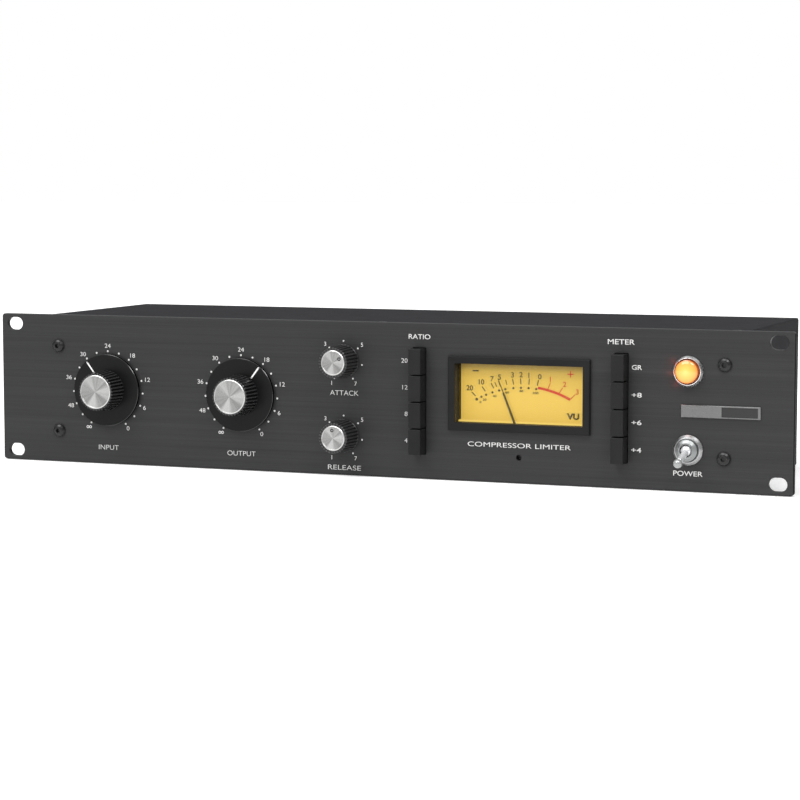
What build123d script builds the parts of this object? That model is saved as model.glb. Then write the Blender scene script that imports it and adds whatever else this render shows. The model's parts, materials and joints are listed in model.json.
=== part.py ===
from build123d import *

import os
from math import cos, radians, sin

# Rack-mounted limiting amplifier, two rack units high, modelled in millimetres as separate pieces.
#
# +X is to the right seen from the front, +Y runs back into the rack and +Z is up. The origin is the centre
# of the front panel's rear face, the plane that lies against the rack rails. Every piece is written at rest:
# all push buttons out, the toggle lever down, the needle and the knobs where their angles put them.

OUT_DIR = "parts"

# ---- front panel and rack pattern (19 inch, 2U) ----
PANEL_W, PANEL_H, PANEL_T = 482.6, 88.1, 3.0
PANEL_CORNER_R, PANEL_EDGE = 2.0, 0.35
SLOT_X, SLOT_Z = 465.1 / 2, 76.2 / 2
SLOT_LENGTH, SLOT_WIDTH = 10.3, 7.6
PANEL_SCREW_X, PANEL_SCREW_Z = 203.0, 25.4

# ---- sheet metal box behind the panel ----
BODY_HALF_W, BODY_HALF_H, BODY_D = 214.0, 43.5, 133.0
SHEET = 1.2
LIP = 12.0
COVER_SCREW_XS, COVER_SCREW_Y = (-206.5, 0.0, 206.5), 10.0
FLOOR_Z = -BODY_HALF_H + SHEET
REAR_FACE_Y = BODY_D
REAR_INSIDE_Y = BODY_D - SHEET
REAR_SCREW_X, REAR_SCREW_Z = 205.5, 30.0

# ---- knobs: (x, z, pointer angle clockwise from the top) ----
LEVEL_KNOBS = {"input": (-170.0, 0.0, -37.5), "output": (-83.1, 0.0, 37.5)}
TIME_KNOBS = {"attack": (-18.7, 21.4, 60.0), "release": (-18.7, -21.4, -7.0)}
KNOB_GAP, KNOB_FRONT, CAP_SEAT, CAP_FACE = 0.6, 16.0, 15.2, 16.25
LEVEL_CAP_R, TIME_CAP_R = 9.9, 7.1
SHAFT_END = 14.0
SHAFT_R, SHAFT_RUNNING = 3.0, 0.05
BUSHING_R, BUSHING_OUT = 4.5, 3.2
NUT_AF, NUT_T = 12.0, 2.0
SKIRT_R = 21.3

# ---- push-button banks ----
RATIO_X, METER_BANK_X = 27.6, 145.4
BUTTON_W, BUTTON_H, BUTTON_PITCH, BUTTON_OUT = 7.2, 14.4, 15.1, 8.5
BUTTON_ROWS = (1.5, 0.5, -0.5, -1.5)
RATIO_NAMES = ("ratio_button_20", "ratio_button_12", "ratio_button_8", "ratio_button_4")
METER_NAMES = ("meter_button_gr", "meter_button_8", "meter_button_6", "meter_button_4")
BANK_W, BANK_Y0, BANK_Y1 = 15.0, 8.0, 30.0
PLUNGER_W, PLUNGER_H, PLUNGER_END = 3.0, 5.0, 24.0

# ---- meter ----
METER_X, BEZEL_Z = 86.7, 5.2
BEZEL_W, BEZEL_H, BEZEL_OUT = 82.8, 41.7, 2.0
WINDOW_Z, WINDOW_W, WINDOW_H = 5.5, 74.6, 33.2
CASE_HALF_W, CASE_Z0, CASE_Z1, CASE_D = 41.0, -37.0, 25.6, 30.0
CASE_WALL = 1.5
DIAL_Y, DIAL_T = 6.0, 0.8
PIVOT_Z, NEEDLE_LENGTH, NEEDLE_ANGLE = -24.0, 40.5, -21.8
NEEDLE_Y = 4.6
ZERO_SCREW_Z, ZERO_HOLE_R = -29.7, 1.7

# ---- pilot lamp and power toggle ----
LAMP_X, LAMP_Z, LAMP_HOLE_R = 183.0, 21.4, 6.1
TOGGLE_X, TOGGLE_Z, TOGGLE_BUSHING_R = 183.2, -21.4, 5.9
TOGGLE_PIVOT_Y, TOGGLE_REACH, TOGGLE_TILT = -6.0, 19.3, 14.9

# ---- badge ----
BADGE_X, BADGE_Z, BADGE_W, BADGE_H, BADGE_T = 201.0, -0.2, 43.8, 6.8, 0.8

# ---- boards inside ----
CONTROL_Y, BOARD_T = 30.0, 1.6
MAIN_Z = -35.0
MAIN_X0, MAIN_X1, MAIN_Y0, MAIN_Y1 = -200.0, 72.0, 42.0, 120.0
STANDOFF_XS, STANDOFF_YS = (-192.0, -64.0, 64.0), (48.0, 114.0)
TOROID_X, TOROID_Y, TOROID_R, TOROID_H = 114.0, 82.0, 34.0, 38.0

# ---- rear connectors ----
XLR_IN_X, XLR_OUT_X, XLR_Z = -180.0, -110.0, 2.0
XLR_FLANGE_W, XLR_FLANGE_H, XLR_FLANGE_T, XLR_TUBE_R = 26.0, 31.0, 2.0, 11.8
XLR_SCREW_X, XLR_SCREW_Z = 9.5, 12.0
JACK_XS = (-145.0, -75.0, -45.0)
JACK_BORE_R, JACK_BUSHING_R, JACK_OUT, JACK_LENGTH = 3.2, 5.5, 6.0, 28.0
INLET_X, INLET_Z = 172.0, 6.0
INLET_EAR_X = 20.0

M3_R, M4_R = 1.5, 2.0
CLEAR = 0.12


# ---------------------------------------------------------------- helpers
def front(distance):
    """The Y of a plane this far in front of the panel's face."""
    return -PANEL_T - distance


def rear(distance):
    """The Y of a plane this far behind the rear panel's face."""
    return REAR_FACE_Y + distance


def block(x, y, z):
    """A box from three (low, high) pairs."""
    size = [b - a for a, b in (x, y, z)]
    return Pos(*[(a + b) / 2 for a, b in (x, y, z)]) * Box(*size)


def rod(x, z, y0, y1, r):
    """A cylinder along Y."""
    return Pos(x, (y0 + y1) / 2, z) * Rot(90, 0, 0) * Cylinder(r, y1 - y0)


def post(x, y, z0, z1, r):
    """A cylinder along Z."""
    return Pos(x, y, (z0 + z1) / 2) * Cylinder(r, z1 - z0)


def plate(sketch, y0, y1):
    """A sketch drawn in X and Z, thickened from y0 back to y1."""
    plane = Plane(origin=(0, y1, 0), x_dir=(1, 0, 0), z_dir=(0, -1, 0))
    return extrude(plane * sketch, amount=y1 - y0)


def turned(points):
    """A body of revolution about the Y axis from (radius, y) points."""
    return revolve(make_face(Polyline(*points, close=True)), Axis.Y)


def hexagon(across_flats, x=0.0, z=0.0):
    return Pos(x, z) * RegularPolygon(across_flats / 2, 6, major_radius=False)


def tube_along(points, radius, bend):
    path = FilletPolyline(*points, radius=bend)
    return sweep(Plane(origin=path @ 0, z_dir=path % 0) * Circle(radius), path=path)


def grouped(solids, at=Pos(0, 0, 0)):
    """Several separate solids as one node, each moved by the same placement."""
    return Compound(children=[at * solid for solid in solids])


PARTS = {}


def keep(name, shape):
    PARTS[name] = shape


# ---------------------------------------------------------------- front panel
def bank_slot(x, extra):
    height = BUTTON_PITCH * 3 + BUTTON_H + 1.0 + extra
    return Pos(x, 0) * RectangleRounded(BUTTON_W + 1.0 + extra, height, 0.5)


def front_panel():
    outline = RectangleRounded(PANEL_W, PANEL_H, PANEL_CORNER_R)
    body = plate(outline, -PANEL_T, 0)
    body = chamfer(body.faces().sort_by(Axis.Y)[0].outer_wire().edges(), PANEL_EDGE)
    slots = Sketch() + [
        Pos(sx * SLOT_X, sz * SLOT_Z) * SlotOverall(SLOT_LENGTH, SLOT_WIDTH)
        for sx in (-1, 1)
        for sz in (-1, 1)
    ]
    body -= plate(slots, -PANEL_T, 0)
    rims = body.faces().sort_by(Axis.Y)[0].inner_wires()
    body = chamfer([e for w in rims for e in w.edges()], 0.3)
    holes = [Pos(x, z) * Circle(BUSHING_R + CLEAR) for x, z, _ in all_knobs().values()]
    holes += [
        Pos(sx * PANEL_SCREW_X, sz * PANEL_SCREW_Z) * Circle(M4_R + 0.25)
        for sx in (-1, 1)
        for sz in (-1, 1)
    ]
    holes += [
        bank_slot(RATIO_X, 0),
        bank_slot(METER_BANK_X, 0),
        Pos(METER_X, WINDOW_Z) * Rectangle(WINDOW_W + 2.2, WINDOW_H + 2.2),
        Pos(METER_X, ZERO_SCREW_Z) * Circle(ZERO_HOLE_R),
        Pos(LAMP_X, LAMP_Z) * Circle(LAMP_HOLE_R),
        Pos(TOGGLE_X, TOGGLE_Z) * Circle(TOGGLE_BUSHING_R + CLEAR),
    ]
    return body - plate(Sketch() + holes, -PANEL_T, 0)


def panel_screw(x, z):
    """M4 button-head screw with a hex socket, its head on the panel's face."""
    head_r, head_h, socket_af = 3.9, 2.2, 2.5
    head = turned([
        (0, front(0)), (head_r, front(0)), (head_r, front(0.5)), (head_r - 0.5, front(1.25)),
        (head_r - 1.4, front(head_h - 0.2)), (head_r - 2.1, front(head_h)), (0, front(head_h)),
    ])
    head -= plate(hexagon(socket_af), front(head_h), front(0.8))
    return Pos(x, 0, z) * (head + rod(0, 0, front(0), 6.0, M4_R - 0.04))


def panel_screws():
    return grouped(
        panel_screw(sx * PANEL_SCREW_X, sz * PANEL_SCREW_Z) for sx in (-1, 1) for sz in (-1, 1)
    )


def badge_plate():
    """Blank nameplate: a thin plate with a sunk panel in its right half."""
    body = plate(Pos(BADGE_X, BADGE_Z) * RectangleRounded(BADGE_W, BADGE_H, 0.4), front(BADGE_T), front(0))
    body = chamfer(body.faces().sort_by(Axis.Y)[0].outer_wire().edges(), 0.2)
    sunk = Pos(BADGE_X + BADGE_W / 4 - 0.4, BADGE_Z) * Rectangle(BADGE_W / 2 - 2.0, BADGE_H - 1.4)
    return body - plate(sunk, front(BADGE_T), front(BADGE_T - 0.3))


# ---------------------------------------------------------------- sheet metal
def chassis_base():
    """Folded tray: floor, front wall, side walls, top lips and rear flanges, with pressed-in standoffs."""
    w, h, d, t = BODY_HALF_W, BODY_HALF_H, BODY_D, SHEET
    top = h - t
    tray = block((-w, w), (0, d), (-h, FLOOR_Z))
    tray += block((-w, w), (0, t), (-h, top))
    for s in (-1, 1):
        side = sorted((s * w, s * (w - t)))
        lip = sorted((s * w, s * (w - LIP)))
        tray += block(side, (0, d), (-h, top))
        tray += block(lip, (0, d - t), (top - t, top))
        tray += block(lip, (d - 2 * t, d - t), (-h, top))
    tray += block((-w, w), (0, 18.0), (top - t, top))
    outer = [e for e in tray.edges().filter_by(Axis.Y) if abs(abs(e.center().X) - w) < 0.01
             and abs(e.center().Z + h) < 0.01]
    tray = fillet(outer, 1.0)
    for x in STANDOFF_XS:
        for y in STANDOFF_YS:
            tray += post(x, y, FLOOR_Z, MAIN_Z, 3.2) - post(x, y, FLOOR_Z, MAIN_Z, M3_R)
    return tray - chassis_openings()


def chassis_openings():
    w, t = BODY_HALF_W, SHEET
    wall = [Pos(x, z) * Circle(BUSHING_R + CLEAR) for x, z, _ in all_knobs().values()]
    wall += [
        Pos(sx * PANEL_SCREW_X, sz * PANEL_SCREW_Z) * Circle(M4_R) for sx in (-1, 1) for sz in (-1, 1)
    ]
    wall += [
        bank_slot(RATIO_X, 1.0),
        bank_slot(METER_BANK_X, 1.0),
        Pos(METER_X, (CASE_Z0 + CASE_Z1) / 2) * Rectangle(2 * CASE_HALF_W + 1, CASE_Z1 - CASE_Z0 + 1),
        Pos(LAMP_X, LAMP_Z) * Circle(LAMP_HOLE_R),
        Pos(TOGGLE_X, TOGGLE_Z) * Circle(TOGGLE_BUSHING_R + CLEAR),
    ]
    cuts = plate(Sketch() + wall, 0, t)
    under_cover = BODY_HALF_H - 3 * t
    for x in COVER_SCREW_XS:
        cuts += post(x, COVER_SCREW_Y, under_cover, BODY_HALF_H, M3_R)
    for s in (-1, 1):
        cuts += post(s * COVER_SCREW_XS[2], REAR_FACE_Y - COVER_SCREW_Y, under_cover, BODY_HALF_H, M3_R)
        for sz in (-1, 1):
            cuts += rod(s * REAR_SCREW_X, sz * REAR_SCREW_Z, REAR_FACE_Y - 3 * t, REAR_INSIDE_Y, M3_R)
        for i in range(9):
            vent = Plane.YZ * Pos(60 + 6.0 * i, 4.0) * SlotOverall(30.0, 2.4, rotation=90)
            cuts += Pos(s * (w - t / 2), 0, 0) * extrude(vent, amount=t, both=True)
    return cuts


def top_cover():
    w, t, h = BODY_HALF_W, SHEET, BODY_HALF_H
    cover = block((-w, w), (0.3, BODY_D), (h - t, h))
    cover = fillet(cover.edges().group_by(Axis.Z)[-1].filter_by(Axis.Y), 0.9)
    cover = fillet(cover.edges().group_by(Axis.Z)[-1].sort_by(Axis.Y)[-1], 0.9)
    for x, y in cover_screw_places():
        cover -= Pos(x, y, h) * countersink()
    return cover


def cover_screw_places():
    places = [(x, COVER_SCREW_Y) for x in COVER_SCREW_XS]
    return places + [(x, REAR_FACE_Y - COVER_SCREW_Y) for x in COVER_SCREW_XS]


def countersink():
    """The cutter for one M3 countersunk head, its face at z = 0."""
    return Pos(0, 0, -SHEET) * Cone(M3_R + 0.1, 2.9, SHEET, align=(Align.CENTER, Align.CENTER, Align.MIN))


def cover_screws():
    """Six countersunk M3 screws with cross recesses, 0.1 below the cover's face."""
    base = (Align.CENTER, Align.CENTER, Align.MIN)
    screw = Pos(0, 0, -SHEET) * Cone(M3_R, 2.7, SHEET - 0.1, align=base)
    screw += post(0, 0, -6.0, -SHEET, M3_R - 0.02)
    screw -= cross_recess(-0.7)
    return grouped(Pos(x, y, BODY_HALF_H) * screw for x, y in cover_screw_places())


def cross_recess(bottom):
    return block((-1.3, 1.3), (-0.25, 0.25), (bottom, 0.1)) + block((-0.25, 0.25), (-1.3, 1.3), (bottom, 0.1))


def rear_panel():
    """Rear plate between the side walls, with a folded top lip and the connector cut-outs."""
    w, h = BODY_HALF_W - SHEET - 0.1, BODY_HALF_H - SHEET
    sheet = Pos(0, (h + FLOOR_Z) / 2) * Rectangle(2 * w, h - FLOOR_Z)
    inlet = Pos(INLET_X, INLET_Z) * Rectangle(28.4, 33.4)
    holes = [Pos(x, XLR_Z) * Circle(12.0) for x in (XLR_IN_X, XLR_OUT_X)]
    holes += [Pos(x, XLR_Z) * Circle(JACK_BUSHING_R + CLEAR) for x in JACK_XS]
    holes += [Pos(x, z) * Circle(M3_R + CLEAR) for x, z, _ in rear_screw_places()]
    rear = plate(sheet - inlet - (Sketch() + holes), REAR_INSIDE_Y, REAR_FACE_Y)
    rear += block((-w + LIP, w - LIP), (REAR_FACE_Y - LIP - 6, REAR_INSIDE_Y), (h - SHEET, h))
    return rear - post(0, REAR_FACE_Y - COVER_SCREW_Y, h - 2 * SHEET, h, M3_R)


def rear_screw_places():
    """(x, z, thickness under the head) of every pan-head screw on the rear face."""
    places = [(sx * REAR_SCREW_X, sz * REAR_SCREW_Z, 0.0) for sx in (-1, 1) for sz in (-1, 1)]
    for x in (XLR_IN_X, XLR_OUT_X):
        places += [(x + s * XLR_SCREW_X, XLR_Z - s * XLR_SCREW_Z, XLR_FLANGE_T) for s in (-1, 1)]
    places += [(INLET_X + s * INLET_EAR_X, INLET_Z, 2.5) for s in (-1, 1)]
    return places


def pan_head_screw(length):
    """M3 pan-head screw along Z, head upwards, the underside of the head at z = 0."""
    head = Cylinder(2.75, 2.0, align=(Align.CENTER, Align.CENTER, Align.MIN))
    head = fillet(head.edges().sort_by(Axis.Z)[-1], 0.8)
    return head - Pos(0, 0, 2.0) * cross_recess(-1.0) + post(0, 0, -length, 0, M3_R - 0.02)


def case_screws():
    screws = [Pos(x, y, MAIN_Z + BOARD_T) * pan_head_screw(6.0) for x in STANDOFF_XS for y in STANDOFF_YS]
    for x, z, under in rear_screw_places():
        screws.append(Pos(x, REAR_FACE_Y + under, z) * Rot(-90, 0, 0) * pan_head_screw(6.0 + under))
    return grouped(screws)


# ---------------------------------------------------------------- knobs and pots
def all_knobs():
    return LEVEL_KNOBS | TIME_KNOBS


def fluted(body, count, r0, d0, r1, d1, cutter_r):
    """Cuts flutes that follow a cone from radius r0 at distance d0 to r1 at d1."""
    start = Vector(r0, front(d0), 0)
    along = Vector(r1, front(d1), 0) - start
    cutter = Plane(origin=start, z_dir=along) * Cylinder(
        cutter_r, along.length * 1.15, align=(Align.CENTER, Align.CENTER, Align.MIN)
    )
    return body - [Rot(0, i * 360 / count, 0) * cutter for i in range(count)]


def level_knob():
    """Fluted knob on a flat skirt, hollow underneath for the bushing nut, with a pointer groove."""
    d0, d1, bore, rim = KNOB_GAP, KNOB_FRONT, SHAFT_R + 0.02, LEVEL_CAP_R + 0.05
    profile = [
        (0, front(CAP_SEAT)), (rim, front(CAP_SEAT)), (rim, front(d1)), (10.7, front(d1)),
        (11.0, front(d1 - 0.3)), (12.0, front(2.8)), (SKIRT_R - 0.3, front(2.8)), (SKIRT_R, front(2.5)),
        (SKIRT_R, front(d0 + 0.4)), (SKIRT_R - 0.4, front(d0)), (9.4, front(d0)), (9.4, front(3.6)),
        (bore, front(3.6)), (bore, front(SHAFT_END)), (0, front(SHAFT_END)),
    ]
    knob = fluted(turned(profile), 36, 12.25, 3.3, 11.3, d1, 0.7)
    return knob - block((-0.45, 0.45), (front(2.9), front(2.5)), (12.9, 20.4))


def time_knob():
    """Smaller knob, fluted from a narrow collar at its foot."""
    d0, d1, bore, rim = KNOB_GAP, KNOB_FRONT, SHAFT_R + 0.02, TIME_CAP_R + 0.05
    profile = [
        (0, front(CAP_SEAT)), (rim, front(CAP_SEAT)), (rim, front(d1)), (8.4, front(d1)),
        (8.7, front(d1 - 0.3)), (9.4, front(1.6)), (9.6, front(1.4)), (9.6, front(d0 + 0.4)),
        (9.2, front(d0)), (7.4, front(d0)), (7.4, front(3.6)), (bore, front(3.6)),
        (bore, front(SHAFT_END)), (0, front(SHAFT_END)),
    ]
    return fluted(turned(profile), 30, 9.6, 1.9, 8.95, d1, 0.6)


def knob_cap(radius):
    """Turned aluminium inlay with a raised rim."""
    r, face = radius, CAP_FACE
    return turned([
        (0, front(CAP_SEAT)), (r, front(CAP_SEAT)), (r, front(face - 0.1)), (r - 0.35, front(face + 0.2)),
        (r - 0.7, front(face + 0.2)), (r - 0.9, front(face)), (0, front(face)),
    ])


def index_ring():
    """The cutter for the small round groove that marks a time knob's pointer side."""
    z, y0, y1 = 4.5, front(CAP_FACE), front(CAP_FACE - 0.5)
    return rod(0, z, y0, y1, 1.05) - rod(0, z, y0, y1, 0.45)


def knob_shaft():
    """Six-millimetre shaft with a flat where the knob grips it."""
    shaft = rod(0, 0, front(SHAFT_END - 0.1), 9.0, SHAFT_R)
    return shaft - block((1.6, 3.5), (front(SHAFT_END), front(5.0)), (-4, 4))


def pot(body_r, length, gangs):
    """Panel potentiometer: bushing, stacked round gangs and three pins back to the control board."""
    body = rod(0, 0, front(BUSHING_OUT), SHEET, BUSHING_R)
    gang = length / gangs
    for i in range(gangs):
        y0 = SHEET + i * gang
        body += rod(0, 0, y0, y0 + gang - 1.0, body_r)
        body += rod(0, 0, y0 + gang - 1.0, y0 + gang, body_r - 1.5)
    for x in (-5.0, 0.0, 5.0):
        body += rod(x, -5.0, SHEET + length, CONTROL_Y + 2.5, 0.5)
    return body - rod(0, 0, front(BUSHING_OUT), 9.5, SHAFT_R + SHAFT_RUNNING)


def bushing_nuts():
    """Hex nuts on the four pot bushings and the three jack bushings."""
    nuts = [
        plate(hexagon(NUT_AF, x, z) - Pos(x, z) * Circle(BUSHING_R), front(NUT_T), front(0))
        for x, z, _ in all_knobs().values()
    ]
    nuts += [
        plate(hexagon(14.0, x, XLR_Z) - Pos(x, XLR_Z) * Circle(JACK_BUSHING_R), rear(0), rear(2.5))
        for x in JACK_XS
    ]
    return grouped(nuts)


def make_knobs():
    for name, (x, z, angle) in all_knobs().items():
        level = name in LEVEL_KNOBS
        turn = Pos(x, 0, z) * Rot(0, angle, 0)
        cap = knob_cap(LEVEL_CAP_R if level else TIME_CAP_R)
        if not level:
            cap -= index_ring()
        keep(f"{name}_knob", turn * (level_knob() if level else time_knob()))
        keep(f"{name}_knob_cap", turn * cap)
        keep(f"{name}_shaft", turn * knob_shaft())
    level_pot, time_pot = pot(12.5, 22.0, 2), pot(8.5, 11.0, 1)
    keep("level_pots", grouped(Pos(x, 0, z) * level_pot for x, z, _ in LEVEL_KNOBS.values()))
    keep("time_pots", grouped(Pos(x, 0, z) * time_pot for x, z, _ in TIME_KNOBS.values()))


# ---------------------------------------------------------------- push buttons
def button():
    """Button cap with softened edges and its plunger."""
    cap = block((-BUTTON_W / 2, BUTTON_W / 2), (front(BUTTON_OUT), 1.5), (-BUTTON_H / 2, BUTTON_H / 2))
    cap = fillet(cap.faces().sort_by(Axis.Y)[0].edges(), 0.45)
    half_w, half_h = PLUNGER_W / 2, PLUNGER_H / 2
    return cap + block((-half_w, half_w), (1.5, PLUNGER_END), (-half_h, half_h))


def switch_bank():
    """Interlocked four-way push-switch frame with a blind guide for each plunger and solder pins."""
    half = BUTTON_PITCH * 2 + 1.0
    bank = block((-BANK_W / 2, BANK_W / 2), (BANK_Y0, BANK_Y1), (-half, half))
    half_w, half_h = PLUNGER_W / 2 + CLEAR, PLUNGER_H / 2 + CLEAR
    for row in BUTTON_ROWS:
        z = row * BUTTON_PITCH
        bank -= block((-half_w, half_w), (BANK_Y0, BANK_Y1 - 1.0), (z - half_h, z + half_h))
        for x in (-5.0, 5.0):
            bank += rod(x, z + 3.0, BANK_Y1, CONTROL_Y + 2.5, 0.5)
            bank += rod(x, z - 3.0, BANK_Y1, CONTROL_Y + 2.5, 0.5)
    return bank


def make_buttons():
    for x, names in ((RATIO_X, RATIO_NAMES), (METER_BANK_X, METER_NAMES)):
        for name, row in zip(names, BUTTON_ROWS):
            keep(name, Pos(x, 0, row * BUTTON_PITCH) * button())
    keep("switch_banks", grouped(Pos(x, 0, 0) * switch_bank() for x in (RATIO_X, METER_BANK_X)))


# ---------------------------------------------------------------- meter
def meter_bezel():
    """Raised frame round the window, with a sleeve through the panel's cut-out."""
    frame = plate(Pos(METER_X, BEZEL_Z) * Rectangle(BEZEL_W, BEZEL_H), front(BEZEL_OUT), front(0))
    frame = chamfer(frame.faces().sort_by(Axis.Y)[0].outer_wire().edges(), 0.4)
    frame += plate(Pos(METER_X, WINDOW_Z) * Rectangle(WINDOW_W + 2, WINDOW_H + 2), front(0), 0)
    frame -= plate(Pos(METER_X, WINDOW_Z) * Rectangle(WINDOW_W, WINDOW_H), front(BEZEL_OUT), 0)
    return frame


def meter_window():
    return plate(Pos(METER_X, WINDOW_Z) * Rectangle(WINDOW_W - 0.1, WINDOW_H - 0.1), front(0.6), front(-0.9))


def window_shroud():
    """Walls from the front down to the dial at the window's sides and top; the needle passes below."""
    half, top, w = WINDOW_W / 2 + 1.0, WINDOW_Z + WINDOW_H / 2 + 1.0, CASE_WALL
    return block((METER_X - half, METER_X + half), (w, DIAL_Y - 0.2), (WINDOW_Z - WINDOW_H / 2 + 1.0, top))


def meter_case():
    """Moulded housing, open at the back, with the window opening and the zero screw's hole in its front."""
    x0, x1 = METER_X - CASE_HALF_W, METER_X + CASE_HALF_W
    w = CASE_WALL
    case = block((x0, x1), (0, CASE_D), (CASE_Z0, CASE_Z1))
    case -= block((x0 + w, x1 - w), (w, CASE_D), (CASE_Z0 + w, CASE_Z1 - w))
    case += window_shroud()
    case -= plate(Pos(METER_X, WINDOW_Z) * Rectangle(WINDOW_W, WINDOW_H), 0, DIAL_Y)
    ledge_y = (DIAL_Y + DIAL_T, DIAL_Y + DIAL_T + 2.0)
    for a, b in ((x0 + w, x0 + w + 3), (x1 - w - 3, x1 - w)):
        case += block((a, b), ledge_y, (CASE_Z0 + w, CASE_Z1 - w))
    return case - rod(METER_X, ZERO_SCREW_Z, 0, w, 2.5)


def meter_back():
    """Rear cover of the meter with its four terminal posts."""
    x0, x1 = METER_X - CASE_HALF_W, METER_X + CASE_HALF_W
    back = block((x0, x1), (CASE_D, CASE_D + 2.0), (CASE_Z0, CASE_Z1))
    for x in (-25.0, -15.0, 15.0, 25.0):
        back += rod(METER_X + x, 0, CASE_D + 2.0, CASE_D + 9.0, 1.5)
    return back


def meter_dial():
    """Scale plate, cut away below the window for the movement."""
    half, top = CASE_HALF_W - CASE_WALL - 0.3, CASE_Z1 - CASE_WALL - 0.3
    return block((METER_X - half, METER_X + half), (DIAL_Y, DIAL_Y + DIAL_T), (-14.0, top))


def meter_movement():
    """Magnet and frame of the moving-coil movement, bored for the coil's arbor."""
    frame = rod(METER_X, PIVOT_Z, 7.6, 24.0, 10.5)
    frame -= rod(METER_X, PIVOT_Z, 7.6, 20.0, 7.0)
    frame += block((METER_X - 30, METER_X + 30), (24.0, CASE_D), (PIVOT_Z - 4, PIVOT_Z + 4))
    return frame - rod(METER_X, PIVOT_Z, 20.0, 22.0, 0.6 + SHAFT_RUNNING)


def meter_needle():
    """Tapered pointer with a short counterweight tail, seen through the window."""
    tip, waist = NEEDLE_LENGTH, NEEDLE_LENGTH - 9.0
    outline = make_face(Polyline(
        (-0.75, -7.0), (0.75, -7.0), (0.52, waist), (0.2, waist + 0.6), (0.15, tip),
        (-0.15, tip), (-0.2, waist + 0.6), (-0.52, waist), close=True,
    ))
    arm = plate(outline + Circle(2.2) - Circle(0.6), NEEDLE_Y - 0.25, NEEDLE_Y + 0.25)
    return Pos(METER_X, 0, PIVOT_Z) * Rot(0, NEEDLE_ANGLE, 0) * arm


def needle_arbor():
    """The coil's arbor and former, turning inside the movement."""
    arbor = rod(0, 0, NEEDLE_Y - 1.0, 21.8, 0.6) + rod(0, 0, 9.0, 19.0, 6.2)
    return Pos(METER_X, 0, PIVOT_Z) * Rot(0, NEEDLE_ANGLE, 0) * arbor


def zero_screw():
    """Slotted zero-adjust screw in the front wall of the meter."""
    screw = rod(METER_X, ZERO_SCREW_Z, 0.1, 2.6, 2.5 - SHAFT_RUNNING)
    return screw - block((METER_X - 3, METER_X + 3), (0.0, 0.9), (ZERO_SCREW_Z - 0.35, ZERO_SCREW_Z + 0.35))


# ---------------------------------------------------------------- lamp
def lamp_bezel():
    ring = turned([
        (7.0, front(0)), (8.4, front(0)), (8.4, front(1.6)), (7.5, front(3.0)), (7.2, front(3.1)),
        (7.0, front(2.9)),
    ])
    return Pos(LAMP_X, 0, LAMP_Z) * ring


def lamp_jewel():
    """Domed lens on a hollow stem."""
    edge, top, steps = 4.4, 6.9, 8
    dome = [
        (6.4 * cos(radians(90 * i / steps)), front(edge + (top - edge) * sin(radians(90 * i / steps))))
        for i in range(steps)
    ]
    jewel = turned([(0, front(edge + 1.0)), (4.6, front(edge)), (4.6, 2.0), (5.5, 2.0), (5.5, front(0.2)),
                    (6.4, front(0.2)), *dome, (0, front(top))])
    return Pos(LAMP_X, 0, LAMP_Z) * jewel


def lamp_holder():
    """Barrel behind the panel with its clamping nut, the light source and two tabs."""
    barrel = turned([(5.55, front(0)), (6.0, front(0)), (6.0, 22.0), (0, 22.0), (0, 8.0), (5.55, 8.0)])
    nut = plate(hexagon(16.0) - Circle(6.0), SHEET, SHEET + 3.0)
    led = rod(0, 0, -2.0, 8.0, 2.5)
    tabs = [block((s * 2.5 - 0.4, s * 2.5 + 0.4), (22.0, 28.0), (-1.5, 1.5)) for s in (-1, 1)]
    return grouped([barrel + led + tabs, nut], Pos(LAMP_X, 0, LAMP_Z))


# ---------------------------------------------------------------- toggle
def toggle_nut():
    """Round dress nut with a bevelled face."""
    nut = turned([
        (TOGGLE_BUSHING_R, front(0)), (8.3, front(0)), (8.3, front(0.9)), (7.1, front(2.2)),
        (6.6, front(2.4)), (TOGGLE_BUSHING_R, front(2.0)),
    ])
    return Pos(TOGGLE_X, 0, TOGGLE_Z) * nut


def toggle_body():
    """Threaded bushing and the switch housing behind it, with four terminals."""
    bushing = turned([
        (3.45, front(5.4)), (4.3, front(5.2)), (TOGGLE_BUSHING_R, front(4.0)), (TOGGLE_BUSHING_R, SHEET),
        (3.45, SHEET),
    ])
    housing = block((-7.5, 7.5), (SHEET, 22.0), (-13.0, 13.0))
    housing -= block((-4.0, 4.0), (SHEET, 12.0), (-6.0, 6.0))
    body = bushing + housing
    for x in (-3.5, 3.5):
        for z in (-7.0, 7.0):
            body += block((x - 0.4, x + 0.4), (22.0, 29.0), (z - 1.8, z + 1.8))
    body -= Pos(0, TOGGLE_PIVOT_Y, 0) * Rot(0, 90, 0) * Cylinder(0.8 + SHAFT_RUNNING, 10.0)
    return Pos(TOGGLE_X, 0, TOGGLE_Z) * body


def toggle_lever():
    """Round lever on a ball with trunnions, its tip a smaller ball after a neck."""
    reach = TOGGLE_REACH
    points = [(0, 9.0), (1.3, 9.0), (1.3, -2.0), (1.75, -2.6), (1.85, 3.1 - reach), (1.35, 2.5 - reach),
              (1.35, 1.6 - reach), (0, 1.6 - reach)]
    lever = turned(points) + Sphere(3.3) + Pos(0, -reach, 0) * Sphere(2.5)
    lever += Rot(0, 90, 0) * Cylinder(0.8, 9.0)
    return Pos(TOGGLE_X, TOGGLE_PIVOT_Y, TOGGLE_Z) * Rot(TOGGLE_TILT, 0, 0) * lever


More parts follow.
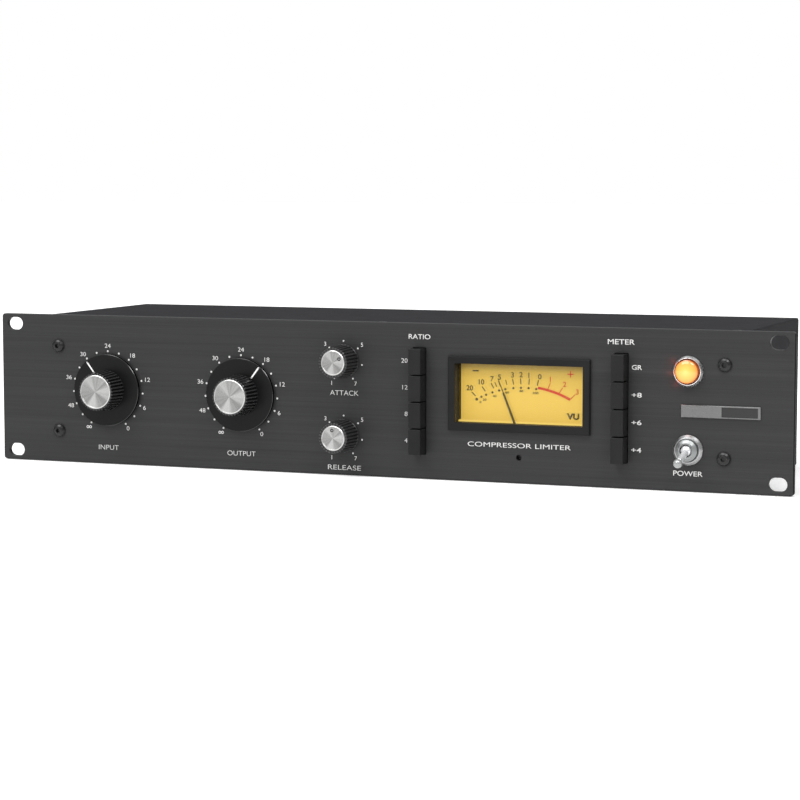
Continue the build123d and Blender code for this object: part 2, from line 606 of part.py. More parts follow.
# ---------------------------------------------------------------- inside
def control_board():
    board = block((-200, 168), (CONTROL_Y, CONTROL_Y + BOARD_T), (-37, 38))
    x0, x1 = METER_X - CASE_HALF_W - 1.5, METER_X + CASE_HALF_W + 1.5
    board -= block((x0, x1), (CONTROL_Y, CONTROL_Y + BOARD_T), (-37, CASE_Z1 + 2))
    pins = []
    for x, z, _ in all_knobs().values():
        pins += [(x + dx, z - 5.0) for dx in (-5.0, 0.0, 5.0)]
    for x in (RATIO_X, METER_BANK_X):
        for row in BUTTON_ROWS:
            pins += [(x + dx, row * BUTTON_PITCH + dz) for dx in (-5.0, 5.0) for dz in (-3.0, 3.0)]
    holes = Sketch() + [Pos(x, z) * Circle(0.6) for x, z in pins]
    return board - plate(holes, CONTROL_Y, CONTROL_Y + BOARD_T)


def main_board():
    board = block((MAIN_X0, MAIN_X1), (MAIN_Y0, MAIN_Y1), (MAIN_Z, MAIN_Z + BOARD_T))
    for x in STANDOFF_XS:
        for y in STANDOFF_YS:
            board -= post(x, y, MAIN_Z, MAIN_Z + BOARD_T, M3_R + CLEAR)
    return board


def circuit_boards():
    return grouped([control_board(), main_board()])


def power_transformer():
    """Toroid between two pads, held down by a dished plate, a bolt and a nut."""
    z0, z1 = FLOOR_Z, FLOOR_Z + TOROID_H
    ring = post(0, 0, z0 + 1.5, z1, TOROID_R) - post(0, 0, z0 + 1.5, z1, 13.0)
    ring = fillet(ring.edges(), 4.0)
    pad = post(0, 0, z0, z0 + 1.5, TOROID_R - 2) - post(0, 0, z0, z0 + 1.5, 3.0)
    dish = post(0, 0, z1, z1 + 1.5, 24.0) - post(0, 0, z1, z1 + 1.5, 3.0)
    bolt = post(0, 0, z0, z1 + 5.0, 2.95) + extrude(
        Pos(0, 0, z1 + 5.0) * RegularPolygon(5.0, 6, major_radius=False), amount=3.5
    )
    washer = post(0, 0, z1 + 1.5, z1 + 5.0, 6.0) - post(0, 0, z1 + 1.5, z1 + 5.0, 3.0)
    return grouped([ring, pad, dish, bolt, washer], Pos(TOROID_X, TOROID_Y, 0))


def audio_transformers():
    """Input and output transformers: a laminated core with its winding bobbin on each."""
    z0 = MAIN_Z + BOARD_T
    core = block((-19, 19), (-8, 8), (z0, z0 + 32)) - block((-12, -5), (-8, 8), (z0 + 6, z0 + 26))
    core -= block((5, 12), (-8, 8), (z0 + 6, z0 + 26))
    bobbin = block((-11.9, 11.9), (-14, 14), (z0 + 6.1, z0 + 25.9))
    bobbin = fillet(bobbin.edges().filter_by(Axis.Z), 2.5)
    bobbin -= block((-5, 5), (-8, 8), (z0, z0 + 32))
    bobbin -= block((-19, 19), (-8, 8), (z0, z0 + 6)) + block((-19, 19), (-8, 8), (z0 + 26, z0 + 32))
    return grouped(Pos(x, 76.0, 0) * piece for x in (-150.0, -95.0) for piece in (core, bobbin))


def heatsink():
    """Finned heatsink with two regulators clamped to its flat side."""
    z0, z1 = MAIN_Z + BOARD_T + 1.0, 0.0
    sink = block((48, 51), (62, 104), (z0, z1))
    for i in range(8):
        y = 62.0 + 5.72 * i
        sink += block((51, 63), (y, y + 1.6), (z0, z1))
    regulators = [block((43.5, 48.0), (y - 5, y + 5), (z0 + 8, z0 + 23)) for y in (72.0, 94.0)]
    legs = [
        block((45.0, 45.6), (y + dy - 0.4, y + dy + 0.4), (MAIN_Z + BOARD_T, z0 + 8))
        for y in (72.0, 94.0) for dy in (-2.5, 0.0, 2.5)
    ]
    return grouped([sink, regulators[0] + legs[:3], regulators[1] + legs[3:]])


def capacitors():
    z0 = MAIN_Z + BOARD_T
    cans = [(15, 72, 8.0, 25.0), (15, 94, 8.0, 25.0), (-12, 66, 5.0, 16.0), (-12, 82, 5.0, 16.0)]
    cans += [(-40 + 13 * i, 104, 3.2, 11.0) for i in range(3)]
    cans += [(-45, 70 + 12 * i, 3.2, 11.0) for i in range(2)]
    return grouped(
        fillet(post(x, y, z0, z0 + h, r).edges().sort_by(Axis.Z)[-1], 0.6) for x, y, r, h in cans
    )


def wiring_harness():
    """Ribbon cable with its two headers, and the mains pair from the inlet to the toggle."""
    x0, x1 = -66.0, -40.0
    board_y, board_z = CONTROL_Y + BOARD_T, MAIN_Z + BOARD_T
    header_a = block((x0 - 2, x1 + 2), (board_y, board_y + 6), (-19, -11))
    header_b = block((x0 - 2, x1 + 2), (54, 62), (board_z, board_z + 7))
    line = FilletPolyline((0, board_y + 6, -15), (0, 58, -15), (0, 58, board_z + 7), radius=8.0)
    strip = Plane(origin=line @ 0, z_dir=line % 0, x_dir=(1, 0, 0)) * Rectangle(x1 - x0, 1.0)
    ribbon = sweep(strip, path=line)
    mains = [
        tube_along([
            (INLET_X + s * 7, rear(-24.0), INLET_Z + 4), (INLET_X + s * 7, 72.0, INLET_Z + 4),
            (TOGGLE_X + s * 3.5, 52.0, TOGGLE_Z - 7), (TOGGLE_X + s * 3.5, 29.0, TOGGLE_Z - 7),
        ], 1.3, 9.0)
        for s in (-1, 1)
    ]
    return grouped([header_a, header_b, Pos((x0 + x1) / 2, 0, 0) * ribbon, *mains])


# ---------------------------------------------------------------- rear connectors
def xlr_housing(bore_r):
    """Flange with two screw holes and the tube behind it, about the connector's own axis."""
    flange = plate(RectangleRounded(XLR_FLANGE_W, XLR_FLANGE_H, 3.0), REAR_FACE_Y, REAR_FACE_Y + XLR_FLANGE_T)
    flange = chamfer(flange.faces().sort_by(Axis.Y)[-1].outer_wire().edges(), 0.4)
    shell = flange + rod(0, 0, rear(-17.0), REAR_FACE_Y, XLR_TUBE_R)
    shell -= rod(0, 0, rear(-17.0), REAR_FACE_Y + XLR_FLANGE_T, bore_r)
    for s in (-1, 1):
        shell -= rod(s * XLR_SCREW_X, -s * XLR_SCREW_Z, REAR_FACE_Y, REAR_FACE_Y + XLR_FLANGE_T, M3_R + CLEAR)
    return shell


def xlr_contacts(radius, y0, y1):
    """Three round contacts on the connector's pin circle."""
    angles = (210, 330, 90)
    return [rod(4.4 * cos(radians(a)), 4.4 * sin(radians(a)), y0, y1, radius) for a in angles]


def xlr_input():
    """Female connector: flanged shell, core with three sockets, and a slot for the latch."""
    shell = xlr_housing(9.6) - block((-4.1, 4.1), (rear(-9.5), rear(3.0)), (8.4, 14.6))
    core = rod(0, 0, rear(-20.0), rear(-17.0), XLR_TUBE_R) + rod(0, 0, rear(-17.0), rear(0.6), 7.9)
    core += xlr_contacts(1.0, rear(-26.0), rear(-20.0))
    for hole in xlr_contacts(1.3, rear(-12.0), rear(0.6)):
        core -= hole
    return grouped([shell, core], Pos(XLR_IN_X, 0, XLR_Z))


def xlr_latch():
    """Release tab of the female connector."""
    tab = block((-3.7, 3.7), (rear(0.3), rear(3.6)), (9.9, 14.0))
    tab = fillet(tab.edges().filter_by(Axis.X).group_by(Axis.Y)[-1], 0.7)
    return Pos(XLR_IN_X, 0, XLR_Z) * (tab + block((-3.7, 3.7), (rear(-8.5), rear(0.3)), (9.9, 11.1)))


def xlr_output():
    """Male connector: flanged shell, insulating disc and three pins."""
    disc = rod(0, 0, rear(-20.0), rear(-17.0), XLR_TUBE_R)
    pins = xlr_contacts(1.2, rear(-26.0), rear(-3.5))
    for pin in pins:
        disc -= pin
    return grouped([xlr_housing(8.2), disc, *pins], Pos(XLR_OUT_X, 0, XLR_Z))


def trs_jacks():
    """Quarter-inch jacks: box body, threaded bushing and a blind bore for the plug."""
    mouth = rear(JACK_OUT)
    jack = block((-8, 8), (rear(-30.0), REAR_INSIDE_Y), (-8, 8))
    jack += rod(0, 0, REAR_INSIDE_Y, mouth, JACK_BUSHING_R)
    jack = chamfer(jack.edges().filter_by(GeomType.CIRCLE).sort_by(Axis.Y)[-1], 0.5)
    jack -= rod(0, 0, mouth - JACK_LENGTH, mouth, JACK_BORE_R)
    for x in (-5.0, 0.0, 5.0):
        jack += block((x - 0.6, x + 0.6), (rear(-37.0), rear(-30.0)), (-0.4, 0.4))
    return grouped(Pos(x, 0, XLR_Z) * jack for x in JACK_XS)


def inlet_opening():
    """The socket's outline: a rectangle with its two upper corners cut."""
    return make_face(Polyline((-12.1, -8.1), (12.1, -8.1), (12.1, 3.6), (7.6, 8.1), (-7.6, 8.1), (-12.1, 3.6),
                              close=True))


def iec_inlet():
    """Mains inlet with three blades above a fuse-drawer bay."""
    y0, y1 = rear(-19.0), rear(2.5)
    face = Rectangle(50.0, 24.0) + Rectangle(31.0, 37.0)
    body = plate(fillet(face.vertices(), 2.0), REAR_FACE_Y, y1)
    body = chamfer(body.faces().sort_by(Axis.Y)[-1].outer_wire().edges(), 0.4)
    body += block((-14, 14), (y0, REAR_FACE_Y), (-16.5, 16.5))
    body -= plate(Pos(0, 6.2) * inlet_opening(), rear(-14.5), y1)
    body -= block((-11.2, 11.2), (rear(-17.5), y1), (-13.9, -4.5))
    for s in (-1, 1):
        body -= rod(s * INLET_EAR_X, 0, REAR_FACE_Y, y1, M3_R + CLEAR)
    blades = [block((x - 1.0, x + 1.0), (rear(-24.0), rear(-1.5)), (z - 2.0, z + 2.0))
              for x, z in ((-7.0, 4.2), (7.0, 4.2), (0.0, 8.2))]
    for blade in blades:
        body -= blade
    return grouped([body, *blades], Pos(INLET_X, 0, INLET_Z))


def fuse_drawer():
    """Pull-out fuse carrier with a finger lip and a trough for the fuse."""
    drawer = block((-10.9, 10.9), (rear(-16.5), rear(3.7)), (-13.6, -4.8))
    drawer -= block((-10.2, 10.2), (rear(-15.0), rear(-7.0)), (-11.0, -4.8))
    drawer += block((-6.0, 6.0), (rear(3.7), rear(4.9)), (-6.2, -4.8))
    return Pos(INLET_X, 0, INLET_Z) * drawer


def fuse():
    """Five by twenty millimetre fuse with an end cap at each side, lying in the drawer's trough."""
    glass = Rot(0, 90, 0) * Cylinder(2.45, 20.0)
    for s in (-1, 1):
        glass += Pos(s * 7.5, 0, 0) * Rot(0, 90, 0) * Cylinder(2.6, 5.0)
    return Pos(INLET_X, rear(-11.0), INLET_Z - 8.3) * glass


# ---------------------------------------------------------------- assembly
def build():
    keep("front_panel", front_panel())
    keep("panel_screws", panel_screws())
    keep("badge_plate", badge_plate())
    keep("chassis_base", chassis_base())
    keep("top_cover", top_cover())
    keep("cover_screws", cover_screws())
    keep("rear_panel", rear_panel())
    keep("case_screws", case_screws())
    make_knobs()
    keep("bushing_nuts", bushing_nuts())
    make_buttons()
    for piece in (meter_bezel, meter_window, meter_case, meter_back, meter_dial, meter_movement,
                  meter_needle, needle_arbor, zero_screw, lamp_bezel, lamp_jewel, lamp_holder,
                  toggle_nut, toggle_body, toggle_lever, circuit_boards, power_transformer,
                  audio_transformers, heatsink, capacitors, wiring_harness, xlr_input, xlr_latch,
                  xlr_output, trs_jacks, iec_inlet, fuse_drawer, fuse):
        keep(piece.__name__, piece())


os.makedirs(OUT_DIR, exist_ok=True)
build()
for node, shape in PARTS.items():
    export_step(shape, os.path.join(OUT_DIR, node + ".step"))
print(len(PARTS), "nodes written")
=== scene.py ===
import json
import math

import bmesh
import bpy
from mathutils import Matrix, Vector


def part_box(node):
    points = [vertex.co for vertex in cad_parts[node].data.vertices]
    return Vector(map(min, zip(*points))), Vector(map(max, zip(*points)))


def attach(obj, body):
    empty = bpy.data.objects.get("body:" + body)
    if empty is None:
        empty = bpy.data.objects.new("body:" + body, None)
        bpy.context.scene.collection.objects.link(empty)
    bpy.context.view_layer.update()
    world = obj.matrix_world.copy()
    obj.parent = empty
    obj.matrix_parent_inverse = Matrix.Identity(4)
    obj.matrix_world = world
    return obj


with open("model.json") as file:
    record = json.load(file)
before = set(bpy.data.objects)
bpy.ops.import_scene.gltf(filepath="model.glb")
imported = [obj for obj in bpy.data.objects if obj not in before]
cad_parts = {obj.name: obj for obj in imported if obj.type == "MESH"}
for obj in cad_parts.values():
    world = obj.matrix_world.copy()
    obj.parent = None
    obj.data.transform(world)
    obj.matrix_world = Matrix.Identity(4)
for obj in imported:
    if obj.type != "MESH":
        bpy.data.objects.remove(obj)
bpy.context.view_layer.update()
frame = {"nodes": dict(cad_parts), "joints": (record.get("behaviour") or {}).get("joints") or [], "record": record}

MM = 0.001


# ---------------------------------------------------------------- places taken from the frame
def middle(node):
    low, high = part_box(node)
    return (low + high) / 2


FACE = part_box("front_panel")[0].y
FLOOR_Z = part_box("front_panel")[0].z
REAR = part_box("rear_panel")[1].y
JOINTS = {joint["name"]: joint for joint in frame["joints"]}
METER_X, METER_PIVOT_Z = JOINTS["needle_swing"]["pos_m"][0], JOINTS["needle_swing"]["pos_m"][2]
DIAL_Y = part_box("meter_dial")[0].y

SWEEP = 150.0
INK_THICKNESS = 0.03 * MM
TITLE_HEIGHT = 2.75 * MM
NUMBER_HEIGHT = 2.45 * MM
PAIR_STRETCH = 1.15


def pointer_angle(knob):
    """Where a knob points at rest, in degrees clockwise from the top."""
    return -SWEEP - JOINTS[knob + "_turn"]["range_deg"][0]


# ---------------------------------------------------------------- node graph helpers
class Surface:
    """A Principled material with short calls for the textures that vary it."""

    def __init__(self, name, color, roughness, metallic=0.0, **sockets):
        self.material = bpy.data.materials.new(name)
        self.material.use_nodes = True
        self.tree = self.material.node_tree
        self.shader = self.tree.nodes["Principled BSDF"]
        self.shader.inputs["Base Color"].default_value = (*color, 1.0)
        self.shader.inputs["Roughness"].default_value = roughness
        self.shader.inputs["Metallic"].default_value = metallic
        for socket, value in sockets.items():
            self.shader.inputs[socket.replace("_", " ")].default_value = value

    def node(self, kind, **settings):
        made = self.tree.nodes.new(kind)
        for key, value in settings.items():
            setattr(made, key, value)
        return made

    def link(self, source, target):
        self.tree.links.new(source, target)

    def place(self, scale=(1, 1, 1), offset=(0, 0, 0), space="Object", turn=(0, 0, 0)):
        """Object or generated coordinates, moved by the offset, then turned and scaled."""
        mapping = self.node("ShaderNodeMapping", vector_type="TEXTURE")
        mapping.inputs["Scale"].default_value = [1 / factor for factor in scale]
        mapping.inputs["Location"].default_value = [-part for part in offset]
        mapping.inputs["Rotation"].default_value = turn
        self.link(self.node("ShaderNodeTexCoord").outputs[space], mapping.inputs["Vector"])
        return mapping.outputs["Vector"]

    def noise(self, vector, scale, detail=3.0, roughness=0.55):
        texture = self.node("ShaderNodeTexNoise")
        texture.inputs["Scale"].default_value = scale
        texture.inputs["Detail"].default_value = detail
        texture.inputs["Roughness"].default_value = roughness
        self.link(vector, texture.inputs["Vector"])
        return texture.outputs["Fac"]

    def rings(self, scale, detail=4.0):
        """Noise that depends only on the distance from the piece's own axis."""
        texture = self.node("ShaderNodeTexNoise", noise_dimensions="1D")
        texture.inputs["Scale"].default_value = scale
        texture.inputs["Detail"].default_value = detail
        self.link(self.from_axis(), texture.inputs["W"])
        return texture.outputs["Fac"]

    def along(self, axis, low, high):
        """0 to 1 between two places on an object axis."""
        split = self.node("ShaderNodeSeparateXYZ")
        self.link(self.place(), split.inputs[0])
        return self.between(split.outputs[axis], low, high, 0.0, 1.0)

    def between(self, value, low, high, to_low, to_high):
        remap = self.node("ShaderNodeMapRange")
        for socket, number in zip(("From Min", "From Max", "To Min", "To Max"), (low, high, to_low, to_high)):
            remap.inputs[socket].default_value = number
        self.link(value, remap.inputs["Value"])
        return remap.outputs["Result"]

    def ramp(self, value, stops):
        colors = self.node("ShaderNodeValToRGB")
        elements = colors.color_ramp.elements
        while len(elements) < len(stops):
            elements.new(0.5)
        for element, (position, color) in zip(elements, stops):
            element.position = position
            element.color = (*color, 1.0)
        self.link(value, colors.inputs["Fac"])
        return colors.outputs["Color"]

    def color_from(self, value, stops, socket="Base Color"):
        self.link(self.ramp(value, stops), self.shader.inputs[socket])
        return self

    def level_from(self, value, stops, socket):
        """Drives a number socket through grey stops."""
        return self.color_from(value, [(position, (level,) * 3) for position, level in stops], socket)

    def depth_in_front(self, reach):
        """0 on the panel's face to 1 this far in front of it."""
        split = self.node("ShaderNodeSeparateXYZ")
        self.link(self.place(), split.inputs[0])
        return self.between(split.outputs["Y"], FACE, FACE - reach, 0.0, 1.0)

    def flat_from_axis(self):
        """Position seen along the piece's own Y axis, measured from that axis."""
        flat = self.node("ShaderNodeVectorMath", operation="MULTIPLY")
        flat.inputs[1].default_value = (1, 0, 1)
        self.link(self.place(offset=(-0.5, 0, -0.5), space="Generated"), flat.inputs[0])
        return flat.outputs["Vector"]

    def from_axis(self):
        """Distance from the piece's own Y axis: 0 on the axis, 0.5 at its greatest radius."""
        length = self.node("ShaderNodeVectorMath", operation="LENGTH")
        self.link(self.flat_from_axis(), length.inputs[0])
        return length.outputs["Value"]

    def painted_reflection_wedges(self, scale):
        """Noise that depends only on the direction from the piece's own axis, used for painted reflection wedges.
        """
        direction = self.node("ShaderNodeVectorMath", operation="NORMALIZE")
        self.link(self.flat_from_axis(), direction.inputs[0])
        return self.noise(direction.outputs["Vector"], scale, 1.0)

    def clockwise(self, turned):
        """Falls from 1 to 0 going clockwise round the piece's Y axis, starting at the angle turned."""
        gradient = self.node("ShaderNodeTexGradient", gradient_type="RADIAL")
        facing = (math.pi / 2, math.radians(turned), 0)
        centred = self.place(offset=(-0.5, -0.5, -0.5), space="Generated", turn=facing)
        self.link(centred, gradient.inputs["Vector"])
        return gradient.outputs["Fac"]

    def blend(self, factor, first, second):
        """One colour where the factor is 0, the other where it is 1. Each is a socket or a plain colour."""
        mix = self.node("ShaderNodeMix", data_type="RGBA")
        self.link(factor, mix.inputs["Factor"])
        for socket, color in zip(("A", "B"), (first, second)):
            target = [found for found in mix.inputs if found.name == socket and found.type == "RGBA"][0]
            if isinstance(color, tuple):
                target.default_value = (*color, 1.0)
            else:
                self.link(color, target)
        return [found for found in mix.outputs if found.type == "RGBA"][0]

    def roughness_from(self, value, low, high):
        self.link(self.between(value, 0.3, 0.7, low, high), self.shader.inputs["Roughness"])
        return self

    def bump_from(self, value, depth, strength=0.5):
        bump = self.node("ShaderNodeBump")
        bump.inputs["Strength"].default_value = strength
        bump.inputs["Distance"].default_value = depth
        self.link(value, bump.inputs["Height"])
        self.link(bump.outputs["Normal"], self.shader.inputs["Normal"])
        return self

    def brushed_round(self):
        """Turns the highlight's stretch around the piece's Y axis, as on a spun face."""
        tangent = self.node("ShaderNodeTangent", direction_type="RADIAL", axis="Y")
        self.link(tangent.outputs["Tangent"], self.shader.inputs["Tangent"])
        return self


def shades(color, spread):
    """A dark and a light stop around one colour."""
    return [(0.3, [c * (1 - spread) for c in color]), (0.7, [c * (1 + spread) for c in color])]


def plain_surface(name, color, roughness, metallic=0.0, grain=900.0, spread=0.12, depth=0.02 * MM, **sockets):
    """A moulded, cast or painted finish: fine grain in colour, gloss and relief."""
    made = Surface(name, color, roughness, metallic, **sockets)
    fine = made.noise(made.place(), grain)
    broad = made.noise(made.place(), grain / 30)
    made.color_from(broad, shades(color, spread))
    made.roughness_from(fine, roughness * 0.88, min(1.0, roughness * 1.12))
    made.bump_from(fine, depth, 0.35)
    return made


# ---------------------------------------------------------------- finishes
def panel_black():
    """Black anodised aluminium, brushed along its length, with painted shade darkening its left, right and lower
    bevels.
    """
    made = Surface("panel_black", (0.03, 0.03, 0.031), 0.45, Specular_IOR_Level=0.25, Anisotropic=0.3)
    hair = made.noise(made.place((9, 40, 2600)), 1.0, 4.0, 0.7)
    streak = made.noise(made.place((2.2, 10, 420)), 1.0, 2.0)
    both = made.node("ShaderNodeMix")
    both.inputs["Factor"].default_value = 0.45
    made.link(hair, both.inputs["A"])
    made.link(streak, both.inputs["B"])
    blended = both.outputs["Result"]
    brushed = made.ramp(blended, shades((0.0235, 0.0235, 0.024), 0.3))
    # The near-black colour on the bevels is painted shade.
    made.link(made.blend(painted_shade_bevels(made), brushed, (0.004, 0.004, 0.004)), made.shader.inputs["Base Color"])
    made.level_from(painted_shade_bevels(made), [(0.0, 0.25), (1.0, 0.05)], "Specular IOR Level")
    made.roughness_from(blended, 0.42, 0.52)
    return made.bump_from(hair, 0.008 * MM, 0.4)


def painted_shade_bevels(made):
    """1 on the panel's left, right and lower bevels, 0 inside them: the mask for the painted shade on the bevels.
    """
    low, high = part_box("front_panel")
    split = made.node("ShaderNodeSeparateXYZ")
    made.link(made.place(offset=tuple(-(low + high) / 2)), split.inputs[0])
    either = made.node("ShaderNodeMath", operation="MAXIMUM")
    for axis, operation, socket in (("X", "ABSOLUTE", 0), ("Z", "MULTIPLY", 1)):
        half = (getattr(high, axis.lower()) - getattr(low, axis.lower())) / 2
        size = made.node("ShaderNodeMath", operation=operation)
        size.inputs[1].default_value = -1.0
        made.link(split.outputs[axis], size.inputs[0])
        painted_light_rim = made.between(size.outputs[0], half - 0.6 * MM, half - 0.3 * MM, 0.0, 1.0)
        made.link(painted_light_rim, either.inputs[socket])
    return either.outputs[0]


LEVEL_FLUTES, TIME_FLUTES = 36, 30
# Ridge and flute tones of the grips: a painted highlight and a painted shade on one black plastic.
RIDGE_PAINTED_HIGHLIGHT, FLUTE_PAINTED_SHADE = 0.035, 0.0015
# Width of the cap's outer band that carries a painted highlight.
CAP_PAINTED_HIGHLIGHT_RIM = 0.75 * MM


def spun_aluminium(node):
    """Aluminium turned on a lathe: fine rings, painted reflection as lighter and darker wedges, and a painted
    highlight on the rim.
    """
    low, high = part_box(node)
    made = Surface(node + "_aluminium", (0.34, 0.34, 0.335), 0.28, 1.0, Anisotropic=0.6)
    # Lighter and darker wedges in the colour are painted reflection of a spun face.
    painted_reflection_wedges = made.ramp(made.painted_reflection_wedges(1.7), [(0.36, (0.25, 0.25, 0.246)), (0.64, (0.45, 0.45, 0.443))])
    painted_highlight_start = 0.5 - CAP_PAINTED_HIGHLIGHT_RIM / (high.x - low.x)
    # The bright colour of the outer band is a painted highlight.
    painted_light_rim = made.between(made.from_axis(), painted_highlight_start, painted_highlight_start + 0.01, 0.0, 1.0)
    made.link(made.blend(painted_light_rim, painted_reflection_wedges, (0.56, 0.56, 0.55)), made.shader.inputs["Base Color"])
    rings = made.rings(90.0)
    made.roughness_from(rings, 0.24, 0.36)
    made.bump_from(rings, 0.006 * MM, 0.3)
    return made.brushed_round()


def painted_ridge_light(made, flutes, turned):
    """Painted highlight on the ridges between this many flutes, and painted shade, nearly black, in the flutes."""
    many = made.node("ShaderNodeMath", operation="MULTIPLY")
    many.inputs[1].default_value = flutes
    one = made.node("ShaderNodeMath", operation="FRACT")
    made.link(made.clockwise(turned), many.inputs[0])
    made.link(many.outputs[0], one.inputs[0])
    # Pale ridge stops are painted highlight; near-black flute stops are painted shade.
    painted_tones = [(0.22, FLUTE_PAINTED_SHADE), (0.38, RIDGE_PAINTED_HIGHLIGHT), (0.62, RIDGE_PAINTED_HIGHLIGHT), (0.78, FLUTE_PAINTED_SHADE)]
    return made.ramp(one.outputs[0], [(position, (tone,) * 3) for position, tone in painted_tones])


def black_plastic(node):
    return plain_surface(node + "_plastic", (0.004, 0.004, 0.0042), 0.3, depth=0.006 * MM)


def time_knob_plastic(node, turned):
    """Moulded black plastic with painted highlight on its ridges and painted shade in its flutes."""
    made = black_plastic(node)
    made.link(painted_ridge_light(made, TIME_FLUTES, turned), made.shader.inputs["Base Color"])
    return made


def level_knob_plastic(node, turned):
    """The fluted grip, with painted highlight on its ridges and painted shade in its flutes, above a matt skirt
    that has a polished edge and a side darkened by painted shade.
    """
    made = black_plastic(node)
    reach = 6.0 * MM
    depth = made.depth_in_front(reach)
    side, edge, skirt, grip = (height * MM / reach for height in (2.42, 2.52, 2.79, 3.3))
    edge_end = skirt - 0.004
    made.level_from(depth, [(side, 0.0), (edge, 0.6), (edge_end, 0.6), (skirt, 0.15), (grip, 0.5)],
                    "Specular IOR Level")
    made.level_from(depth, [(side, 0.6), (edge, 0.2), (edge_end, 0.2), (skirt, 0.36), (grip, 0.25)],
                    "Roughness")
    # The near-black colour on the skirt's side is painted shade.
    skirt_with_painted_shade_side = made.ramp(depth, [(side, (0.0008,) * 3), (edge, (0.0045,) * 3)])
    on_grip = made.between(depth, skirt + 0.01, grip, 0.0, 1.0)
    color = made.blend(on_grip, skirt_with_painted_shade_side, painted_ridge_light(made, LEVEL_FLUTES, turned))
    made.link(color, made.shader.inputs["Base Color"])
    return made


def lit_dial():
    """Amber card lit from below, with painted shade along its top edge."""
    low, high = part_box("meter_window")
    made = Surface("dial_face", (0.82, 0.58, 0.14), 0.6)
    height = made.along("Z", low.z, high.z)
    # The dark stops at the top are painted shade cast by the window's top wall.
    glow_and_painted_shade = [
        (0.0, (0.98, 0.7, 0.16)), (0.035, (0.78, 0.51, 0.075)), (0.45, (0.8, 0.53, 0.078)),
        (0.72, (0.74, 0.49, 0.07)), (0.86, (0.52, 0.34, 0.05)), (0.93, (0.2, 0.13, 0.022)),
        (1.0, (0.05, 0.03, 0.006)),
    ]
    made.color_from(height, glow_and_painted_shade, "Emission Color")
    made.shader.inputs["Emission Strength"].default_value = 0.74
    paper = made.noise(made.place(), 700.0)
    made.color_from(paper, shades((0.24, 0.16, 0.03), 0.06))
    return made.bump_from(paper, 0.01 * MM, 0.2)


def lit_lens():
    """Amber lamp jewel, brightest at the centre of its dome, with painted shade at its edge."""
    made = Surface("amber_lens", (0.3, 0.08, 0.01), 0.12, Coat_Weight=0.4)
    # The dark last stop at the edge is painted shade on the jewel's side.
    glow_and_painted_shade = [
        (0.0, (1.0, 0.9, 0.26)), (0.2, (1.0, 0.72, 0.15)), (0.4, (0.96, 0.5, 0.1)),
        (0.47, (0.8, 0.28, 0.05)), (0.495, (0.22, 0.045, 0.012)),
    ]
    made.color_from(made.from_axis(), glow_and_painted_shade, "Emission Color")
    made.shader.inputs["Emission Strength"].default_value = 0.9
    grain = made.noise(made.place(), 400.0)
    made.color_from(grain, shades((0.3, 0.08, 0.01), 0.1))
    return made.roughness_from(grain, 0.1, 0.16)


def clear_glass():
    made = Surface("meter_glass", (0.96, 0.97, 0.97), 0.05, Alpha=0.06, Transmission_Weight=1.0)
    smear = made.noise(made.place(), 60.0)
    return made.roughness_from(smear, 0.03, 0.08)


def ink(name, color):
    made = Surface(name, color, 0.6)
    grain = made.noise(made.place(), 1500.0)
    made.color_from(grain, shades(color, 0.05))
    return made.roughness_from(grain, 0.5, 0.65)


def bright_metal(name, color, roughness, **sockets):
    made = Surface(name, color, roughness, 1.0, **sockets)
    wear = made.noise(made.place(), 500.0)
    made.color_from(wear, shades(color, 0.05))
    made.roughness_from(wear, roughness * 0.7, roughness * 1.3)
    return made.bump_from(wear, 0.01 * MM, 0.15)


def satin_lever():
    """Nickel-plated lever, with painted shade darkening the ball at its end."""
    made = plain_surface("lever_satin", (0.7, 0.71, 0.72), 0.26, 0.45)
    reach = 30.0 * MM
    ball = 18.8 * MM / reach
    # The darker colour on the ball is painted shade.
    painted_shade_on_ball = [(ball - 0.01, (0.72, 0.73, 0.74)), (ball + 0.01, (0.32, 0.33, 0.33))]
    return made.color_from(made.depth_in_front(reach), painted_shade_on_ball)


